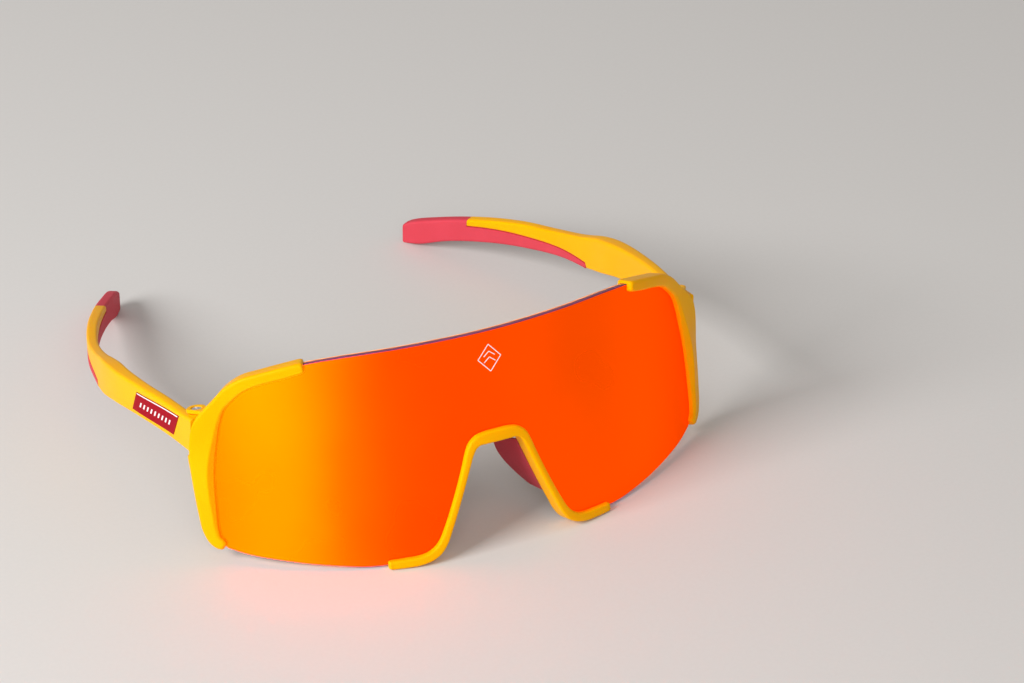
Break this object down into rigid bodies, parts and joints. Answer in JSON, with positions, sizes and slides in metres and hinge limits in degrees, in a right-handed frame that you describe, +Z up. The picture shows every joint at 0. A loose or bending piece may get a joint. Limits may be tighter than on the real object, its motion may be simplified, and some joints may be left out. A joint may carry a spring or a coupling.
{
  "type": "wraparound sport sunglasses",
  "caption": "Wraparound sport sunglasses with a mirrored one-piece shield lens, side rims, nose rim and pads, and temples that fold on screwed hinges.",
  "frame": {"origin": "under the middle of the glasses' bounding box, on the surface that the nose rim's feet and the temple tips stand on", "axes": "+X to the right of a viewer who faces the lens, +Y back along the open temples, +Z up"},
  "size_m": [0.1476, 0.1543, 0.0559],
  "materials": {
    "yellow_plastic": "gloss, moulded nylon",
    "mirror_lens": "polycarbonate with a red-orange mirror coat",
    "crimson_rubber": "soft, satin",
    "badge_crimson": "gloss, thin bright edge line",
    "screw_steel": "turned, bright",
    "insert_brass": "turned"
  },
  "bodies": {
    "front": {"lens": "mirror_lens", "nose_rim": "yellow_plastic", "side_rim_right": "yellow_plastic", "side_rim_left": "yellow_plastic", "nose_pad_right": "crimson_rubber", "nose_pad_left": "crimson_rubber", "hinge_screw_right": "screw_steel", "hinge_screw_left": "screw_steel", "hinge_insert_right": "insert_brass", "hinge_insert_left": "insert_brass"},
    "temple_right": {"temple_right": "yellow_plastic", "temple_sleeve_right": "crimson_rubber", "badge_right": "badge_crimson"},
    "temple_left": {"temple_left": "yellow_plastic", "temple_sleeve_left": "crimson_rubber", "badge_left": "badge_crimson"}
  },
  "joints": [
    {"name": "right_temple_fold", "type": "hinge", "parent": "front", "child": "temple_right", "pos_m": [0.0668, -0.04215, 0.0338], "axis": [0, 0.2198, 0.9755], "range_deg": [0, 80]},
    {"name": "left_temple_fold", "type": "hinge", "parent": "front", "child": "temple_left", "pos_m": [-0.0668, -0.04215, 0.0338], "axis": [0, -0.2198, -0.9755], "range_deg": [0, 70]}
  ]
}
